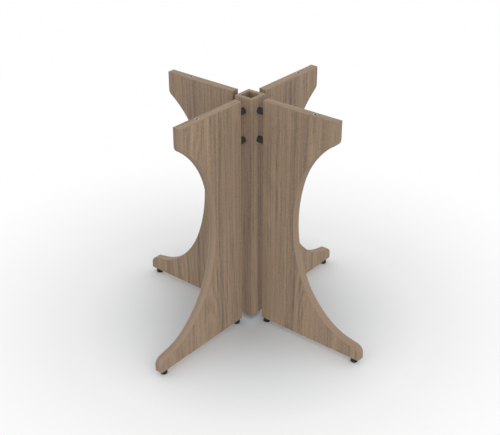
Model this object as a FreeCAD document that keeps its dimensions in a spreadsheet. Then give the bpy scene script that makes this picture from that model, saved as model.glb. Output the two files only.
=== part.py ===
"""Pedestal base of a round table, in millimetres, +Z up.

Four board legs with curved outer edges stand in a cross round a hollow square post. Each leg is a laminated
panel with edge bands, stands on two levelling glides and is held off the post by two sleeves under the top.
The origin is on the floor, on the axis of the post. The legs lie along +X, +Y, -X and -Y.
"""
import FreeCAD, Part
import math
import os
import Sketcher

# Driving sizes: name, value, what it is

SIZES = (
    ("base_height", 739.0, "floor to the seat under the table top"),
    ("sole_height", 17.0, "floor to the underside of the panels and the post"),
    ("board_thick", 25.4, "thickness of a leg panel"),
    ("band_thick", 3.0, "thickness of every edge band"),
    ("band_round", 2.0, "rounding along the outer corners of an edge band"),
    ("leg_inner", 55.0, "post axis to the straight inner edge of a leg"),
    ("arm_reach", 305.0, "post axis to the end of the arm under the top"),
    ("arm_depth", 54.8, "seat down to the rounding under the end of the arm"),
    ("arm_round", 20.0, "rounding under the end of the arm"),
    ("flare_radius", 264.0, "curve that spreads out to the arm"),
    ("upper_radius", 480.0, "curve just above the waist"),
    ("upper_angle", 16.6, "degrees that the curve above the waist turns"),
    ("cutout_depth", 245.0, "end of the toe in to the waist, the narrowest point of the leg"),
    ("lower_angle", 22.9, "degrees that the curve just below the waist turns"),
    ("calf_radius", 280.0, "curve that spreads out to the foot"),
    ("calf_angle", 31.2, "degrees that the spreading curve turns"),
    ("instep_angle", 24.7, "degrees that the curve on to the foot turns"),
    ("ridge_length", 29.0, "straight stretch on top of the foot"),
    ("toe_round", 24.0, "rounding over the toe"),
    ("toe_height", 35.0, "floor to the rounding over the toe"),
    ("toe_reach", 416.5, "post axis to the end of the toe"),
    ("post_width", 62.0, "post measured across two opposite faces"),
    ("post_wall", 12.0, "thickness of a post board"),
    ("post_round", 1.5, "rounding of the post's four corners"),
    ("toe_glide_inset", 21.5, "end of the toe in to its glide"),
    ("inner_glide_inset", 12.6, "inner edge of a leg out to its glide"),
    ("glide_dia", 21.0, "foot of a levelling glide"),
    ("glide_round", 3.0, "rounding under the foot of a glide"),
    ("glide_gap", 0.3, "foot of a glide to the panel, screwed right in"),
    ("collar_dia", 14.0, "collar on top of a glide's foot"),
    ("collar_height", 1.2, "height of that collar"),
    ("stem_length", 25.0, "threaded stem above the foot of a glide"),
    ("stem_dia", 8.0, "thread of the glides and of the top fixings"),
    ("insert_dia", 12.5, "outside of a threaded insert for that thread"),
    ("insert_length", 16.0, "length of that insert"),
    ("bore_spare", 3.0, "room in the panel beyond the tip of the stem"),
    ("thread_gap", 0.05, "thread to insert, all round"),
    ("slot_width", 2.0, "driver slot across an insert"),
    ("slot_depth", 2.5, "depth of the driver slot"),
    ("arm_hole_inset", 81.0, "end of the arm in to the hole for its top fixing"),
    ("tie_drop", 39.0, "seat down to the upper sleeve"),
    ("tie_spacing", 88.0, "upper sleeve down to the lower sleeve"),
    ("stud_dia", 6.0, "thread of the studs that tie the legs"),
    ("tie_insert_dia", 9.5, "outside of the insert for a stud"),
    ("tie_insert_length", 20.0, "length of that insert"),
    ("tie_bore_depth", 26.0, "hole in the leg's inner edge for it"),
    ("stud_in_leg", 18.0, "length of a stud inside the leg"),
    ("stud_end_gap", 1.5, "end of a stud to the head of its cap nut"),
    ("sleeve_dia", 20.0, "outside of a spacer sleeve"),
    ("sleeve_bore", 9.0, "bore of a spacer sleeve"),
    ("sleeve_edge", 0.8, "chamfer on the ends of a sleeve"),
    ("nut_barrel_dia", 8.5, "barrel of a cap nut in the post wall"),
    ("nut_end_gap", 0.5, "end of that barrel to the face of the post"),
    ("nut_head_dia", 16.0, "flat head of a cap nut"),
    ("nut_head_thick", 2.0, "thickness of that head"),
    ("nut_clear", 0.1, "barrel of a cap nut to its hole, all round"),
    ("nut_key", 4.0, "width across the flats of the key hole"),
)

# Places that follow from the driving sizes: name, formula, what it is

PLACES = (
    ("waist_reach", "toe_reach - cutout_depth", "post axis to the waist"),
    ("toe_glide_reach", "toe_reach - toe_glide_inset", "post axis to the glide under the toe"),
    ("inner_glide_reach", "leg_inner + inner_glide_inset", "post axis to the glide at the inner edge"),
    ("glide_top", "sole_height - glide_gap", "floor to the top of a glide's foot"),
    ("bore_depth", "stem_length + bore_spare", "hole in the panel for insert and stem"),
    ("arm_hole_reach", "arm_reach - arm_hole_inset", "post axis to the top fixing in a leg"),
    ("tie_high", "base_height - tie_drop", "floor to the upper sleeve"),
    ("tie_low", "base_height - tie_drop - tie_spacing", "floor to the lower sleeve"),
    ("gap_width", "leg_inner - post_width / 2", "post to leg, the length of a sleeve"),
    ("stud_in_post", "post_wall - stud_end_gap", "length of a stud inside the post wall"),
    ("nut_barrel_length", "post_wall - nut_end_gap", "length of a cap nut's barrel"),
)

SIZE = {name: value for name, value, words in SIZES}
LEGS = (("right", 0), ("back", 90), ("left", 180), ("front", 270))
TIES = (("lower", "tie_low"), ("upper", "tie_high"))
GLIDES = (("toe", "toe_glide_reach"), ("inner", "inner_glide_reach"))
HALF_TURN = 180.0
FULL_TURN = 360.0
KEY_SIDES = 6
NEAR = 1e-4            # mm, how close an edge lies to a plane that it is in
LEAST_CUT = 1.0        # mm3, less than any hole takes away

doc = FreeCAD.newDocument("TableBase")


def make_sheet():
    """Write the sizes and the places to a spreadsheet, one named cell each, and read the places back."""
    sheet = doc.addObject("Spreadsheet::Sheet", "Sizes")
    rows = list(SIZES) + [(name, f"={formula}", words) for name, formula, words in PLACES]
    for row, (name, content, words) in enumerate(rows, start=1):
        sheet.set(f"A{row}", words)
        sheet.set(f"B{row}", str(content))
        sheet.setAlias(f"B{row}", name)
    doc.recompute()
    for name, formula, words in PLACES:
        SIZE[name] = sheet.get(name)


# Small helpers for sketches, bodies and places

def plane(body, role):
    """Return one of a body's own origin planes."""
    return next(feature for feature in body.Origin.OriginFeatures if feature.Role == role)


def new_body(label, turn=0.0):
    """Start a body that is turned about the post axis by so many degrees."""
    body = doc.addObject("PartDesign::Body", label)
    body.Label = label
    body.Placement = FreeCAD.Placement(FreeCAD.Vector(), FreeCAD.Rotation(FreeCAD.Vector(0, 0, 1), turn))
    return body


def new_sketch(body, name, role, offset=None):
    """Add a sketch on an origin plane, moved along its normal by the named size."""
    sketch = body.newObject("Sketcher::SketchObject", name)
    sketch.AttachmentSupport = [(plane(body, role), "")]
    sketch.MapMode = "FlatFace"
    if offset:
        sketch.setExpression(".AttachmentOffset.Base.z", offset)
    return sketch


def add_line(sketch, start, end):
    """Draw a line between two (x, y) points and return its number."""
    return sketch.addGeometry(Part.LineSegment(FreeCAD.Vector(*start, 0), FreeCAD.Vector(*end, 0)), False)


def add_arc(sketch, centre, radius, start, end):
    """Draw an arc that runs anticlockwise from start to end, in degrees, and return its number."""
    circle = Part.Circle(FreeCAD.Vector(*centre, 0), FreeCAD.Vector(0, 0, 1), radius)
    return sketch.addGeometry(Part.ArcOfCircle(circle, math.radians(start), math.radians(end)), False)


def drive(sketch, kind, places, value, expression):
    """Add a dimension with a first value and drive it from the sheet."""
    index = sketch.addConstraint(Sketcher.Constraint(kind, *places, value))
    sketch.setExpression(f"Constraints[{index}]", expression)


def join(sketch, kind, *places):
    """Add a constraint that has no size, such as Vertical or Tangent."""
    sketch.addConstraint(Sketcher.Constraint(kind, *places))


def add_box(sketch, low, high, names):
    """Draw a rectangle whose four sides stand where the sheet says.

    low and high are its corners, and names are the expressions for its left, bottom, right and top sides,
    each measured from the sketch's origin.
    """
    corners = (low, (high[0], low[1]), high, (low[0], high[1]))
    sides = [add_line(sketch, corners[i], corners[(i + 1) % 4]) for i in range(4)]
    for i in range(4):
        join(sketch, "Coincident", sides[i], 2, sides[(i + 1) % 4], 1)
    for i, kind in enumerate(("Horizontal", "Vertical", "Horizontal", "Vertical")):
        join(sketch, kind, sides[i])
    drive(sketch, "DistanceX", (-1, 1, sides[0], 1), low[0], names[0])
    drive(sketch, "DistanceY", (-1, 1, sides[0], 1), low[1], names[1])
    drive(sketch, "DistanceX", (-1, 1, sides[1], 2), high[0], names[2])
    drive(sketch, "DistanceY", (-1, 1, sides[1], 2), high[1], names[3])


def add_hole(sketch, centre, radius, names):
    """Draw a circle; names are the expressions for its centre's x and y and for its radius."""
    hole = sketch.addGeometry(Part.Circle(FreeCAD.Vector(*centre, 0), FreeCAD.Vector(0, 0, 1), radius), False)
    if names[0] == "0":
        join(sketch, "PointOnObject", hole, 3, -2)
    else:
        drive(sketch, "DistanceX", (-1, 1, hole, 3), centre[0], names[0])
    drive(sketch, "DistanceY", (-1, 1, hole, 3), centre[1], names[1])
    drive(sketch, "Radius", (hole,), radius, names[2])


def new_pad(body, name, sketch, length, symmetric=False):
    """Pad a sketch by the length that the expression gives."""
    pad = body.newObject("PartDesign::Pad", name)
    pad.Profile = sketch
    pad.SideType = "Symmetric" if symmetric else "One side"
    pad.setExpression("Length", length)
    return pad


def cut_holes(body, name, sketch, depth, back):
    """Pocket a sketch of holes, and make sure that it takes material away."""
    doc.recompute()
    before = body.Shape.Volume
    pocket = body.newObject("PartDesign::Pocket", name)
    pocket.Profile = sketch
    pocket.Reversed = back
    pocket.setExpression("Length", depth)
    doc.recompute()
    if body.Shape.Volume > before - LEAST_CUT:
        raise RuntimeError(f"{body.Label}: {name} cuts nothing")
    return pocket


def round_edges(body, name, strip, face, half):
    """Fillet the two long edges of a band.

    face is the (axis, place) of its outer face, and half is half its width.
    """
    doc.recompute()
    names = [f"Edge{i}" for i, edge in enumerate(strip.Shape.Edges, start=1)
             if lies_at(edge, *face) and (lies_at(edge, 1, half) or lies_at(edge, 1, -half))]
    fillet = body.newObject("PartDesign::Fillet", name)
    fillet.Base = (strip, names)
    fillet.setExpression("Radius", "Sizes.band_round")


def lies_at(edge, axis, place):
    """Say whether the whole edge lies in the plane at this place along an axis."""
    box = edge.BoundBox
    low, high = ((box.XMin, box.XMax), (box.YMin, box.YMax), (box.ZMin, box.ZMax))[axis]
    return abs(low - place) < NEAR and abs(high - place) < NEAR


def put(item, reach, height, turn, tilt=None):
    """Place a piece at a reach along a leg and at a height; both are expressions.

    turn is the leg's direction in degrees. tilt is the turn that lays the piece down before that.
    """
    spin = FreeCAD.Rotation(FreeCAD.Vector(0, 0, 1), turn)
    item.Placement = FreeCAD.Placement(FreeCAD.Vector(), spin * tilt if tilt else spin)
    item.setExpression(".Placement.Base.x", f"({reach}) * cos({turn} deg)")
    item.setExpression(".Placement.Base.y", f"({reach}) * sin({turn} deg)")
    item.setExpression(".Placement.Base.z", height)
    return item


OUTWARDS = FreeCAD.Rotation(FreeCAD.Vector(0, 1, 0), 90)      # +Z of the piece points away from the post
DOWNWARDS = FreeCAD.Rotation(FreeCAD.Vector(0, 1, 0), 180)    # +Z of the piece points down


# The curved edge of a leg

def edge_arcs():
    """Work out the curved edge in the leg's own plane, where a point is (reach, height).

    The upper arcs hang from the end of the arm. The lower arcs run on from the waist to the toe, and the
    radii of the first and the last of them are what makes both ends meet.
    """
    s = SIZE
    rise = math.radians(s["upper_angle"])
    step = s["upper_radius"] - s["flare_radius"]
    tip = (s["arm_reach"] - s["arm_round"], s["base_height"] - s["arm_depth"])
    flare_x = s["waist_reach"] + s["upper_radius"] - step * math.cos(rise)
    flare_y = tip[1] - math.sqrt((s["flare_radius"] + s["arm_round"]) ** 2 - (flare_x - tip[0]) ** 2)
    flare_end = math.degrees(math.atan2(tip[1] - flare_y, flare_x - tip[0]))
    waist = (s["waist_reach"], flare_y - step * math.sin(rise))
    upper = (waist[0] + s["upper_radius"], waist[1])

    turns = [0.0]
    for name in ("lower_angle", "calf_angle", "instep_angle"):
        turns.append(turns[-1] + s[name])
    across = [math.cos(math.radians(turn)) for turn in turns]
    down = [math.sin(math.radians(turn)) for turn in turns]
    touch = (s["toe_reach"] - s["toe_round"] * (1 - across[3]), s["toe_height"] + s["toe_round"] * down[3])
    foot = (touch[0] - s["ridge_length"] * down[3], touch[1] + s["ridge_length"] * across[3])
    lower_part = (across[0] - across[1], down[1] - down[0])
    instep_part = (across[2] - across[3], down[3] - down[2])
    missing = (foot[0] - waist[0] - s["calf_radius"] * (across[1] - across[2]),
               waist[1] - foot[1] - s["calf_radius"] * (down[2] - down[1]))
    spread = lower_part[0] * instep_part[1] - lower_part[1] * instep_part[0]
    radii = ((missing[0] * instep_part[1] - missing[1] * instep_part[0]) / spread, s["calf_radius"],
             (lower_part[0] * missing[1] - lower_part[1] * missing[0]) / spread)

    centres = [(waist[0] + radii[0], waist[1])]
    for i in (1, 2):
        x, y = centres[-1]
        step = radii[i - 1] - radii[i]
        centres.append((x - step * across[i], y - step * down[i]))
    return {"tip": tip, "flare": (flare_x, flare_y), "flare_end": flare_end, "upper": upper,
            "turns": turns, "radii": radii, "centres": centres, "foot": foot, "touch": touch,
            "toe": (s["toe_reach"] - s["toe_round"], s["toe_height"]), "normal": (across[3], down[3])}


def add_leg_edge(sketch, top_height):
    """Draw the panel's curved edge under its band, from the arm's end down to the sole.

    top_height is the expression for the upper end of the edge. The numbers of the first and the last line
    are returned: the first runs up to that end and the last runs down to the sole.
    """
    s = SIZE
    e = edge_arcs()
    band = s["band_thick"]
    top = s["base_height"] - (band if "band_thick" in top_height else 0.0)
    turns = e["turns"]
    arm_end = add_line(sketch, (s["arm_reach"] - band, e["tip"][1]), (s["arm_reach"] - band, top))
    tip = add_arc(sketch, e["tip"], s["arm_round"] - band, -e["flare_end"], 0.0)
    flare = add_arc(sketch, e["flare"], s["flare_radius"] + band,
                    HALF_TURN - e["flare_end"], HALF_TURN - s["upper_angle"])
    upper = add_arc(sketch, e["upper"], s["upper_radius"] + band, HALF_TURN - s["upper_angle"], HALF_TURN)
    low, calf, instep = (add_arc(sketch, e["centres"][i], e["radii"][i] + band,
                                 HALF_TURN + turns[i], HALF_TURN + turns[i + 1]) for i in range(3))
    inset = (e["normal"][0] * band, e["normal"][1] * band)
    ridge = add_line(sketch, (e["foot"][0] - inset[0], e["foot"][1] - inset[1]),
                     (e["touch"][0] - inset[0], e["touch"][1] - inset[1]))
    toe = add_arc(sketch, e["toe"], s["toe_round"] - band, 0.0, turns[3])
    toe_end = add_line(sketch, (s["toe_reach"] - band, e["toe"][1]), (s["toe_reach"] - band, s["sole_height"]))

    join(sketch, "Vertical", arm_end)
    join(sketch, "Vertical", toe_end)
    join(sketch, "Tangent", arm_end, 1, tip, 2)
    join(sketch, "Tangent", tip, 1, flare, 1)
    join(sketch, "Tangent", flare, 2, upper, 1)
    join(sketch, "Tangent", upper, 2, low, 1)
    join(sketch, "Tangent", low, 2, calf, 1)
    join(sketch, "Tangent", calf, 2, instep, 1)
    join(sketch, "Tangent", instep, 2, ridge, 1)
    join(sketch, "Tangent", ridge, 2, toe, 2)
    join(sketch, "Tangent", toe, 1, toe_end, 1)
    join(sketch, "Horizontal", low, 3, low, 1)

    under = "Sizes.band_thick"
    drive(sketch, "Radius", (tip,), s["arm_round"] - band, f"Sizes.arm_round - {under}")
    drive(sketch, "Radius", (flare,), s["flare_radius"] + band, f"Sizes.flare_radius + {under}")
    drive(sketch, "Radius", (upper,), s["upper_radius"] + band, f"Sizes.upper_radius + {under}")
    drive(sketch, "Radius", (calf,), s["calf_radius"] + band, f"Sizes.calf_radius + {under}")
    drive(sketch, "Radius", (toe,), s["toe_round"] - band, f"Sizes.toe_round - {under}")
    angles = ("upper_angle", "lower_angle", "calf_angle", "instep_angle")
    for arc, name in zip((upper, low, calf, instep), angles):
        drive(sketch, "Angle", (arc,), math.radians(s[name]), f"Sizes.{name} * 1 deg")
    drive(sketch, "Distance", (ridge,), s["ridge_length"], "Sizes.ridge_length")
    drive(sketch, "DistanceX", (-1, 1, low, 1), s["waist_reach"] - band, f"Sizes.waist_reach - {under}")
    drive(sketch, "DistanceX", (-1, 1, arm_end, 2), s["arm_reach"] - band, f"Sizes.arm_reach - {under}")
    drive(sketch, "DistanceY", (-1, 1, arm_end, 2), top, top_height)
    drive(sketch, "DistanceY", (-1, 1, tip, 3), e["tip"][1], "Sizes.base_height - Sizes.arm_depth")
    drive(sketch, "DistanceX", (-1, 1, toe_end, 2), s["toe_reach"] - band, f"Sizes.toe_reach - {under}")
    drive(sketch, "DistanceY", (-1, 1, toe_end, 2), s["sole_height"], "Sizes.sole_height")
    drive(sketch, "DistanceY", (-1, 1, toe, 3), s["toe_height"], "Sizes.toe_height")
    return arm_end, toe_end


# Leg panels and their edge bands

def make_panel(side, turn):
    """Make one leg panel: the board inside its edge bands, with holes for its threaded inserts."""
    s = SIZE
    body = new_body(f"{side}_leg_panel", turn)
    sketch = new_sketch(body, f"{side}_panel_outline", "XZ_Plane")
    arm_end, toe_end = add_leg_edge(sketch, "Sizes.base_height - Sizes.band_thick")
    band = s["band_thick"]
    inner, top = s["leg_inner"] + band, s["base_height"] - band
    top_line = add_line(sketch, (s["arm_reach"] - band, top), (inner, top))
    inner_line = add_line(sketch, (inner, top), (inner, s["sole_height"]))
    sole_line = add_line(sketch, (inner, s["sole_height"]), (s["toe_reach"] - band, s["sole_height"]))
    join(sketch, "Coincident", arm_end, 2, top_line, 1)
    join(sketch, "Coincident", top_line, 2, inner_line, 1)
    join(sketch, "Coincident", inner_line, 2, sole_line, 1)
    join(sketch, "Coincident", sole_line, 2, toe_end, 2)
    join(sketch, "Horizontal", top_line)
    join(sketch, "Vertical", inner_line)
    join(sketch, "Horizontal", sole_line)
    drive(sketch, "DistanceX", (-1, 1, inner_line, 1), inner, "Sizes.leg_inner + Sizes.band_thick")
    new_pad(body, f"{side}_panel_board", sketch, "Sizes.board_thick", symmetric=True)

    glides = new_sketch(body, f"{side}_glide_holes", "XY_Plane", "Sizes.sole_height")
    for place, reach in GLIDES:
        add_round(glides, reach, "insert_dia")
    cut_holes(body, f"{side}_glide_bores", glides, "Sizes.bore_depth", back=True)
    fixing = new_sketch(body, f"{side}_fixing_hole", "XY_Plane", "Sizes.base_height")
    add_round(fixing, "arm_hole_reach", "insert_dia")
    cut_holes(body, f"{side}_fixing_bore", fixing, "Sizes.bore_depth", back=False)
    ties = new_sketch(body, f"{side}_tie_holes", "YZ_Plane", "Sizes.leg_inner")
    add_tie_holes(ties, "tie_insert_dia")
    cut_holes(body, f"{side}_tie_bores", ties, "Sizes.tie_bore_depth", back=True)
    return body


def add_round(sketch, reach, diameter):
    """Draw a hole on the leg's centre line, seen from above."""
    hole = sketch.addGeometry(Part.Circle(FreeCAD.Vector(SIZE[reach], 0, 0), FreeCAD.Vector(0, 0, 1),
                                          SIZE[diameter] / 2), False)
    join(sketch, "PointOnObject", hole, 3, -1)
    drive(sketch, "DistanceX", (-1, 1, hole, 3), SIZE[reach], f"Sizes.{reach}")
    drive(sketch, "Radius", (hole,), SIZE[diameter] / 2, f"Sizes.{diameter} / 2")


def add_tie_holes(sketch, diameter, extra=""):
    """Draw the two holes for the ties, seen from the post."""
    clear = SIZE[extra] if extra else 0.0
    more = f" + Sizes.{extra}" if extra else ""
    for place, height in TIES:
        add_hole(sketch, (0.0, SIZE[height]), SIZE[diameter] / 2 + clear,
                 ("0", f"Sizes.{height}", f"Sizes.{diameter} / 2{more}"))


def make_outer_band(side, turn):
    """Sweep the edge band down the curved edge, from the arm's end to the sole."""
    s = SIZE
    body = new_body(f"{side}_leg_outer_band", turn)
    path = new_sketch(body, f"{side}_band_path", "XZ_Plane")
    add_leg_edge(path, "Sizes.base_height")
    section = new_sketch(body, f"{side}_band_section", "XY_Plane", "Sizes.base_height")
    half, soft = s["board_thick"] / 2, s["band_round"]
    back, face = s["arm_reach"] - s["band_thick"], s["arm_reach"]
    lines = (add_line(section, (back, half), (back, -half)),
             add_line(section, (back, -half), (face - soft, -half)),
             add_line(section, (face, -half + soft), (face, half - soft)),
             add_line(section, (face - soft, half), (back, half)))
    low = add_arc(section, (face - soft, -half + soft), soft, -90, 0)
    high = add_arc(section, (face - soft, half - soft), soft, 0, 90)
    join(section, "Coincident", lines[0], 2, lines[1], 1)
    join(section, "Tangent", lines[1], 2, low, 1)
    join(section, "Tangent", low, 2, lines[2], 1)
    join(section, "Tangent", lines[2], 2, high, 1)
    join(section, "Tangent", high, 2, lines[3], 1)
    join(section, "Coincident", lines[3], 2, lines[0], 1)
    join(section, "Horizontal", lines[1])
    join(section, "Horizontal", lines[3])
    join(section, "Vertical", lines[2])
    join(section, "Symmetric", lines[0], 1, lines[0], 2, -1)
    join(section, "Equal", low, high)
    drive(section, "Radius", (low,), soft, "Sizes.band_round")
    drive(section, "DistanceX", (-1, 1, lines[0], 1), back, "Sizes.arm_reach - Sizes.band_thick")
    drive(section, "DistanceX", (-1, 1, lines[2], 1), face, "Sizes.arm_reach")
    drive(section, "DistanceY", (lines[0], 2, lines[0], 1), 2 * half, "Sizes.board_thick")
    sweep = body.newObject("PartDesign::AdditivePipe", f"{side}_band_sweep")
    sweep.Profile = section
    sweep.Spine = path
    return body


def make_inner_band(side, turn):
    """Make the straight band on the leg's inner edge, with holes for the ties."""
    s = SIZE
    body = new_body(f"{side}_leg_inner_band", turn)
    sketch = new_sketch(body, f"{side}_inner_band_face", "YZ_Plane", "Sizes.leg_inner")
    half = s["board_thick"] / 2
    add_box(sketch, (-half, s["sole_height"]), (half, s["base_height"]),
            ("-Sizes.board_thick / 2", "Sizes.sole_height", "Sizes.board_thick / 2", "Sizes.base_height"))
    pad = new_pad(body, f"{side}_inner_band_strip", sketch, "Sizes.band_thick")
    round_edges(body, f"{side}_inner_band_soft", pad, (0, s["leg_inner"]), half)
    ties = new_sketch(body, f"{side}_inner_band_holes", "YZ_Plane", "Sizes.leg_inner")
    add_tie_holes(ties, "tie_insert_dia")
    cut_holes(body, f"{side}_inner_band_bores", ties, "Sizes.band_thick", back=True)
    return body


def make_top_band(side, turn):
    """Make the straight band along the arm's top, with a hole for the top fixing."""
    s = SIZE
    body = new_body(f"{side}_leg_top_band", turn)
    sketch = new_sketch(body, f"{side}_top_band_face", "XY_Plane", "Sizes.base_height - Sizes.band_thick")
    half = s["board_thick"] / 2
    start, end = s["leg_inner"] + s["band_thick"], s["arm_reach"] - s["band_thick"]
    add_box(sketch, (start, -half), (end, half),
            ("Sizes.leg_inner + Sizes.band_thick", "-Sizes.board_thick / 2",
             "Sizes.arm_reach - Sizes.band_thick", "Sizes.board_thick / 2"))
    pad = new_pad(body, f"{side}_top_band_strip", sketch, "Sizes.band_thick")
    round_edges(body, f"{side}_top_band_soft", pad, (2, s["base_height"]), half)
    fixing = new_sketch(body, f"{side}_top_band_hole", "XY_Plane", "Sizes.base_height")
    add_round(fixing, "arm_hole_reach", "insert_dia")
    cut_holes(body, f"{side}_top_band_bore", fixing, "Sizes.band_thick", back=False)
    return body


# The hollow post

def make_post_board(side, turn):
    """Make one of the four mitred boards of the post, with holes for the two cap nuts of its leg."""
    s = SIZE
    body = new_body(f"{side}_post_board", turn)
    sketch = new_sketch(body, f"{side}_post_section", "XY_Plane", "Sizes.sole_height")
    half, wall, soft = s["post_width"] / 2, s["post_wall"], s["post_round"]
    room = half - wall
    tip = half - soft + soft * math.sqrt(0.5)
    back = add_line(sketch, (room, room), (room, -room))
    low = add_line(sketch, (room, -room), (tip, -tip))
    low_arc = add_arc(sketch, (half - soft, -half + soft), soft, -45, 0)
    face = add_line(sketch, (half, -half + soft), (half, half - soft))
    high_arc = add_arc(sketch, (half - soft, half - soft), soft, 0, 45)
    high = add_line(sketch, (tip, tip), (room, room))
    join(sketch, "Coincident", back, 2, low, 1)
    join(sketch, "Coincident", low, 2, low_arc, 1)
    join(sketch, "Tangent", low_arc, 2, face, 1)
    join(sketch, "Tangent", face, 2, high_arc, 1)
    join(sketch, "Coincident", high_arc, 2, high, 1)
    join(sketch, "Coincident", high, 2, back, 1)
    join(sketch, "Equal", low_arc, high_arc)
    join(sketch, "Symmetric", back, 1, back, 2, -1)
    join(sketch, "Symmetric", face, 1, face, 2, -1)
    join(sketch, "PointOnObject", high_arc, 3, high)
    join(sketch, "PointOnObject", low_arc, 3, low)
    drive(sketch, "Radius", (low_arc,), soft, "Sizes.post_round")
    drive(sketch, "DistanceX", (-1, 1, back, 1), room, "Sizes.post_width / 2 - Sizes.post_wall")
    drive(sketch, "DistanceY", (back, 2, back, 1), 2 * room, "Sizes.post_width - 2 * Sizes.post_wall")
    drive(sketch, "DistanceX", (-1, 1, face, 1), half, "Sizes.post_width / 2")
    drive(sketch, "DistanceY", (low_arc, 3, high_arc, 3), 2 * (half - soft),
          "Sizes.post_width - 2 * Sizes.post_round")
    new_pad(body, f"{side}_post_blank", sketch, "Sizes.base_height - Sizes.sole_height")
    ties = new_sketch(body, f"{side}_post_holes", "YZ_Plane", "Sizes.post_width / 2")
    add_tie_holes(ties, "nut_barrel_dia", "nut_clear")
    cut_holes(body, f"{side}_post_bores", ties, "Sizes.post_wall", back=False)
    return body


# Turned pieces

def rod(name, radius, height):
    """Make a cylinder along +Z whose radius and height are expressions."""
    item = doc.addObject("Part::Cylinder", name)
    item.setExpression("Radius", radius)
    item.setExpression("Height", height)
    return item


def cut(name, base, tool):
    """Take one solid away from another."""
    item = doc.addObject("Part::Cut", name)
    item.Base = base
    item.Tool = tool
    return item


def make_insert(name, diameter, length, thread):
    """Make a threaded insert: a plain barrel along +Z from its mouth, with a driver slot across the mouth."""
    barrel = rod(f"{name}_barrel", f"Sizes.{diameter} / 2", f"Sizes.{length}")
    bore = rod(f"{name}_bore", f"Sizes.{thread} / 2 + Sizes.thread_gap", f"Sizes.{length}")
    slot = doc.addObject("Part::Box", f"{name}_slot")
    slot.setExpression("Length", f"Sizes.{diameter}")
    slot.setExpression("Width", "Sizes.slot_width")
    slot.setExpression("Height", "Sizes.slot_depth")
    slot.setExpression(".Placement.Base.x", f"-Sizes.{diameter} / 2")
    slot.setExpression(".Placement.Base.y", "-Sizes.slot_width / 2")
    return cut(name, cut(f"{name}_tube", barrel, bore), slot)


def make_sleeve(name):
    """Make a spacer sleeve along +Z, as long as the gap between post and leg, with chamfered ends."""
    tube = cut(f"{name}_tube", rod(f"{name}_rod", "Sizes.sleeve_dia / 2", "Sizes.gap_width"),
               rod(f"{name}_bore", "Sizes.sleeve_bore / 2", "Sizes.gap_width"))
    doc.recompute()
    rims = [i for i, edge in enumerate(tube.Shape.Edges, start=1)
            if isinstance(edge.Curve, Part.Circle) and abs(edge.Curve.Radius - SIZE["sleeve_dia"] / 2) < NEAR]
    item = doc.addObject("Part::Chamfer", name)
    item.Base = tube
    item.Edges = [(i, SIZE["sleeve_edge"], SIZE["sleeve_edge"]) for i in rims]
    return item


def make_stud(name):
    """Make the stud of a tie along +Z, from inside the post's wall to inside the leg."""
    return rod(name, "Sizes.stud_dia / 2", "Sizes.stud_in_post + Sizes.gap_width + Sizes.stud_in_leg")


def make_cap_nut(name):
    """Make a cap nut along +Z: a flat head inside the post and a bored barrel through its wall."""
    head = rod(f"{name}_head", "Sizes.nut_head_dia / 2", "Sizes.nut_head_thick")
    barrel = rod(f"{name}_barrel", "Sizes.nut_barrel_dia / 2", "Sizes.nut_head_thick + Sizes.nut_barrel_length")
    blank = doc.addObject("Part::Fuse", f"{name}_blank")
    blank.Base = head
    blank.Tool = barrel
    bore = rod(f"{name}_bore", "Sizes.stud_dia / 2 + Sizes.thread_gap", "Sizes.nut_barrel_length")
    bore.setExpression(".Placement.Base.z", "Sizes.nut_head_thick")
    key = doc.addObject("Part::Prism", f"{name}_key")
    key.Polygon = KEY_SIDES
    key.setExpression("Circumradius", "Sizes.nut_key / sqrt(3)")
    key.setExpression("Height", "Sizes.nut_head_thick")
    return cut(name, cut(f"{name}_drilled", blank, bore), key)


def make_glide_foot(label):
    """Turn the moulded foot of a levelling glide: a short cylinder, rounded underneath, with a low collar."""
    s = SIZE
    body = new_body(label)
    sketch = new_sketch(body, f"{label}_section", "XZ_Plane")
    radius, soft = s["glide_dia"] / 2, s["glide_round"]
    top = s["glide_top"]
    shoulder = top - s["collar_height"]
    collar, bore = s["collar_dia"] / 2, s["stem_dia"] / 2
    points = ((0.0, 0.0), (radius - soft, 0.0), (radius, soft), (radius, shoulder), (collar, shoulder),
              (collar, top), (bore, top), (bore, shoulder), (0.0, shoulder))
    sole = add_line(sketch, points[0], points[1])
    corner = add_arc(sketch, (radius - soft, soft), soft, -90, 0)
    lines = [add_line(sketch, points[i], points[(i + 1) % len(points)]) for i in range(2, len(points))]
    join(sketch, "Coincident", -1, 1, sole, 1)
    join(sketch, "Horizontal", sole)
    join(sketch, "Tangent", sole, 2, corner, 1)
    join(sketch, "Tangent", corner, 2, lines[0], 1)
    for i in range(6):
        join(sketch, "Coincident", lines[i], 2, lines[i + 1], 1)
        join(sketch, "Horizontal" if i % 2 else "Vertical", lines[i])
    join(sketch, "Vertical", lines[6])
    join(sketch, "Coincident", lines[6], 2, sole, 1)
    join(sketch, "Horizontal", lines[0], 2, lines[4], 2)
    drive(sketch, "Radius", (corner,), soft, "Sizes.glide_round")
    drive(sketch, "DistanceX", (-1, 1, lines[0], 2), radius, "Sizes.glide_dia / 2")
    drive(sketch, "DistanceX", (-1, 1, lines[2], 1), collar, "Sizes.collar_dia / 2")
    drive(sketch, "DistanceX", (-1, 1, lines[4], 1), bore, "Sizes.stem_dia / 2")
    drive(sketch, "DistanceY", (-1, 1, lines[2], 2), top, "Sizes.glide_top")
    drive(sketch, "DistanceY", (-1, 1, lines[0], 2), shoulder, "Sizes.glide_top - Sizes.collar_height")
    turned = body.newObject("PartDesign::Revolution", f"{label}_turned")
    turned.Profile = sketch
    turned.ReferenceAxis = (sketch, ["V_Axis"])
    turned.Angle = FULL_TURN
    return body


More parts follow.
